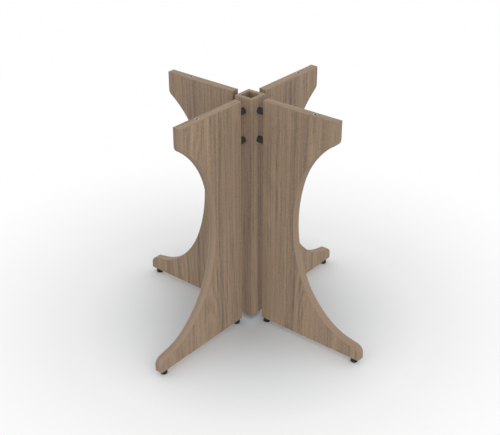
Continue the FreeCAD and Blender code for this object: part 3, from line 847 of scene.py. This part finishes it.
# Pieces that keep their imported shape


@dataclass
class Boards:
    """The leg panels, their straight bands and the four boards of the post."""

    nodes: dict[str, bpy.types.Object]
    sole_skin: float = 0.05 * MM
    print_start: float = 1.0
    print_turn: float = 40.0
    post_shift: float = 0.5
    inner_shift: float = 0.7
    top_shift: float = 0.9
    sheet_offset: float = 9.6 * MM
    sheet_spread: float = 1.076
    streaks: tuple[Streak, ...] = (
        Streak(143 * MM, 11 * MM, 0.035), Streak(163 * MM, 13 * MM, 0.060),
        Streak(185 * MM, 10 * MM, 0.050), Streak(222 * MM, 15 * MM, -0.040),
        Streak(275 * MM, 15 * MM, -0.040), Streak(294 * MM, 12 * MM, 0.050),
        Streak(314 * MM, 14 * MM, -0.035), Streak(348 * MM, 12 * MM, 0.030),
        Streak(376 * MM, 10 * MM, -0.020))

    def cut_streaks(self, side: Side) -> tuple[Streak, ...]:
        """Find a panel's streaks, which stand further out on two of the four.

        Args:
            side: The leg.

        Returns:
            The streaks at their places on this panel.
        """
        if side not in (Side.FRONT, Side.BACK):
            return self.streaks
        return tuple(Streak(streak.place * self.sheet_spread + self.sheet_offset,
                            streak.half_width, streak.depth) for streak in self.streaks)

    def choose_finishes(self, side: Side) -> dict[str, WoodFinish]:
        """Choose the finish of each board of a leg.

        Args:
            side: The leg.

        Returns:
            The finishes by the board's name without the leg's word.
        """
        word = side.word
        along = Grain.ALONG_X if side in (Side.RIGHT, Side.LEFT) else Grain.ALONG_Y
        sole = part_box(f"{side.word}_leg_panel")[0].z + self.sole_skin
        shift = self.print_start + side.value / self.print_turn
        return {
            "leg_panel": WoodFinish(f"{word}_panel_laminate", Grain.UPRIGHT, shift, sole,
                                    self.cut_streaks(side)),
            "post_board": WoodFinish(f"{word}_post_laminate", Grain.UPRIGHT,
                                     shift + self.post_shift, sole),
            "leg_inner_band": WoodFinish(f"{word}_inner_banding", Grain.UPRIGHT,
                                         shift + self.inner_shift),
            "leg_top_band": WoodFinish(f"{word}_top_banding", along, shift + self.top_shift),
        }

    def dress(self) -> list[bpy.types.Object]:
        """Give every board its laminate or banding.

        Returns:
            The boards.
        """
        boards = []
        for side in Side:
            for part, finish in self.choose_finishes(side).items():
                boards.append(self.nodes[f"{side.word}_{part}"])
                paint(boards[-1], finish.build())
        return boards


@dataclass
class Hardware:
    """The feet of the glides, the spacer sleeves and the fixings."""

    nodes: dict[str, bpy.types.Object]
    finishes: tuple[tuple[HardFinish, tuple[str, ...]], ...] = (
        (NYLON, ("_glide_foot",)),
        (POWDER_COAT, ("_spacer_sleeve",)),
        (ZINC, ("_inserts", "_studs", "_nuts", "_glide_stem")))

    def dress(self) -> list[bpy.types.Object]:
        """Give the moulded, the coated and the plated pieces their finish.

        Returns:
            The pieces.
        """
        pieces = []
        for finish, endings in self.finishes:
            for name, node in self.nodes.items():
                if name.endswith(endings):
                    paint(node, finish.material())
                    pieces.append(node)
        return pieces


@dataclass
class Threads:
    """The screw threads on the stems of the glides."""

    crest: float = 4.0 * MM
    root: float = 3.35 * MM
    pitch: float = 1.25 * MM
    ridge_width: float = 1.15 * MM
    sunk: float = 0.1 * MM
    tip: float = 1.0 * MM
    plain_turns: int = 2
    steps: int = 18
    smooth_angle: float = math.radians(30.0)

    def model_stem(self, low: float, high: float) -> bpy.types.Object:
        """Model a threaded stem on the Z axis.

        Args:
            low: The height of its lower end.
            high: The height of its tip.

        Returns:
            The stem: a core with a chamfered tip, and a ridge that winds round it.
        """
        bpy.ops.object.select_all(action="DESELECT")
        bpy.ops.mesh.primitive_cylinder_add(vertices=2 * self.steps, radius=self.root,
                                            depth=high - low, location=(0, 0, (low + high) / 2))
        core = name_piece("glide_stem_core")
        apply_place(core)
        corners = core.data.vertices
        select_only(core, "EDGE", lambda edge: all(corners[i].co.z > high - self.tip / 2
                                                   for i in edge.vertices))
        bpy.ops.mesh.bevel(offset=self.tip, segments=1, affect="EDGES")
        bpy.ops.object.mode_set(mode="OBJECT")
        ridge = self.model_ridge(low, high - self.tip - self.plain_turns * self.pitch)
        select_alone(core)
        ridge.select_set(True)
        bpy.ops.object.join()
        point_faces_out(core)
        bpy.ops.object.shade_smooth_by_angle(angle=self.smooth_angle)
        return core

    def model_ridge(self, low: float, high: float) -> bpy.types.Object:
        """Wind a three-sided ridge round the Z axis.

        Args:
            low: The height where it starts.
            high: The height that its last turn reaches.

        Returns:
            The ridge, closed at both ends.
        """
        bpy.ops.object.select_all(action="DESELECT")
        bpy.ops.mesh.primitive_circle_add(vertices=3, radius=self.ridge_width, location=(0, 0, 0))
        ridge = name_piece("thread_ridge")
        foot = self.root - self.sunk
        corners = (Vector((foot, 0, low)), Vector((self.crest, 0, low + self.ridge_width / 2)),
                   Vector((foot, 0, low + self.ridge_width)))
        for vertex, corner in zip(ridge.data.vertices, corners):
            vertex.co = corner
        wind = ridge.modifiers.new("wind", "SCREW")
        wind.axis = "Z"
        wind.angle = 2 * math.pi
        wind.iterations = int((high - low) / self.pitch)
        wind.screw_offset = self.pitch
        wind.steps = wind.render_steps = self.steps
        wind.use_merge_vertices = False
        bpy.ops.object.modifier_apply(modifier=wind.name)
        bpy.ops.object.mode_set(mode="EDIT")
        bpy.ops.mesh.select_all(action="SELECT")
        bpy.ops.mesh.fill_holes(sides=3)
        bpy.ops.object.mode_set(mode="OBJECT")
        return ridge

    def dress(self) -> list[bpy.types.Object]:
        """Put a threaded stem in each glide.

        Returns:
            The stems.
        """
        low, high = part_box(f"{Side.RIGHT.word}_{Place.TOE.value}_glide_stem")
        stem = self.model_stem(low.z, high.z)
        screws = []
        for side in Side:
            for place in Place:
                glide = f"{side.word}_{place.value}_glide"
                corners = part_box(f"{glide}_stem")
                middle = (corners[0] + corners[1]) / 2
                screw = copy_piece(stem, f"{glide}_screw", side.value,
                                   Vector((middle.x, middle.y, 0)))
                paint(screw, ZINC.material())
                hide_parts(f"{glide}_stem")
                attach(screw, glide)
                screws.append(screw)
        bpy.data.objects.remove(stem)
        return screws


# Studio


@dataclass(frozen=True)
class Lamp:
    """A soft square lamp, with its place and its side in metres and its power in watts."""

    name: str
    place: Point
    size: float
    watts: float


@dataclass
class Studio:
    """The floor, the light and the camera."""

    camera_at: Point = (-1.9969, -1.6311, 1.76345)
    pitch: float = math.radians(90 - 28.814)
    heading: float = math.radians(-50.737)
    lens: float = 70.62
    sensor: float = 36.0

    floor_size: float = 60.0
    floor_span: Span = (0.0, 2.0)
    # Painted shadow: the floor's colour for the eye, a cool grey round the base that pales
    # outwards.
    painted_shadow_floor_stops: tuple[tuple[float, Colour], ...] = ((0.02, (0.536, 0.567, 0.596)),
                                                     (0.27, (0.833, 0.834, 0.837)),
                                                     (0.60, (0.893, 0.891, 0.898)))
    bounce_stops: tuple[tuple[float, Colour], ...] = ((0.12, (0.80, 0.80, 0.80)),
                                                      (0.45, (0.45, 0.45, 0.45)))
    floor_roughness: float = 0.9
    floor_gloss: float = 0.1
    fade: Span = (0.60, 1.15)
    most_white: float = 0.95

    sky: float = 0.98
    aim: Point = (0.0, 0.0, 0.35)
    lamps: tuple[Lamp, ...] = (Lamp("key", (-1.5, -3.0, 1.5), 2.5, 33.5),
                               Lamp("fill", (-3.2, 0.5, 1.2), 2.0, 6.5))

    def build(self) -> None:
        """Make the studio."""
        self.add_floor()
        self.add_sky()
        for lamp in self.lamps:
            self.add_lamp(lamp)
        self.add_camera()

    def add_floor(self) -> None:
        """Lay a pale floor under the feet, with a painted shadow round the base.

        The colour that the eye sees is painted darker towards the base, a slightly cool grey that
        pales outwards. The light that the floor throws back takes a second colour, darker further
        out. The floor fades to white well away from the base, as a paper backdrop does.
        """
        bpy.ops.object.select_all(action="DESELECT")
        bpy.ops.mesh.primitive_plane_add(size=self.floor_size, location=(0, 0, 0))
        floor = name_piece("floor")
        g = MaterialGraph("pale_floor_painted_shadow")
        away = g.vectors("LENGTH", g.coordinates["Object"]).outputs["Value"]
        share = g.window(away, self.floor_span)
        seen = g.seen_rays()
        # The camera sees the painted shadow ramp; light that bounces off the floor takes the bounce
        # ramp.
        g.surface(Base_Color=g.mix(seen, g.ramp(share, *self.bounce_stops),
                                   g.ramp(share, *self.painted_shadow_floor_stops)),
                  Roughness=self.floor_roughness, Specular_IOR_Level=self.floor_gloss)
        whiteness = g.maths("MULTIPLY", seen, g.window(away, self.fade, self.most_white))
        g.feed(g.output.inputs["Surface"],
               g.blend(whiteness, g.shader, g.add("Emission", Strength=1.0)))
        paint(floor, g.material)

    def add_sky(self) -> None:
        """Light the base evenly from all round, and show white behind it."""
        world = bpy.data.worlds.new("studio")
        bpy.context.scene.world = world
        world.use_nodes = True
        g = Graph(world.node_tree)
        even = g.add("Background", Color=WHITE, Strength=self.sky)
        white = g.add("Background", Color=WHITE, Strength=1.0)
        g.add("OutputWorld", Surface=g.blend(g.seen_rays(), even, white))

    def add_lamp(self, plan: Lamp) -> None:
        """Hang a soft square lamp that faces the middle of the base.

        Args:
            plan: The lamp's name, place, size and power.
        """
        bpy.ops.object.select_all(action="DESELECT")
        bpy.ops.object.light_add(type="AREA", location=plan.place)
        lamp = bpy.context.object
        lamp.name = plan.name
        lamp.data.size = plan.size
        lamp.data.energy = plan.watts
        towards = Vector(self.aim) - Vector(plan.place)
        lamp.rotation_euler = towards.to_track_quat("-Z", "Y").to_euler()

    def add_camera(self) -> None:
        """Stand the camera where the photograph was taken from."""
        bpy.ops.object.select_all(action="DESELECT")
        bpy.ops.object.camera_add(location=self.camera_at,
                                  rotation=(self.pitch, 0.0, self.heading))
        camera = bpy.context.object
        camera.data.lens = self.lens
        camera.data.sensor_width = self.sensor
        bpy.context.scene.camera = camera


def main() -> None:
    """Dress the whole base, report each piece and build the studio round it."""
    logging.basicConfig(level=logging.INFO, format="%(name)s: %(message)s")
    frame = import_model()
    nodes = frame["nodes"]
    for assembly in (Boards(nodes), EdgeBanding(), Hardware(nodes), Threads()):
        LOG.info("%s", type(assembly).__name__)
        for piece in assembly.dress():
            LOG.info("  %s: %d faces, %s", piece.name, len(piece.data.polygons),
                     piece.material_slots[0].material.name)
    Studio().build()
    bpy.context.scene.view_settings.view_transform = "Standard"


if __name__ == "__main__":
    main()
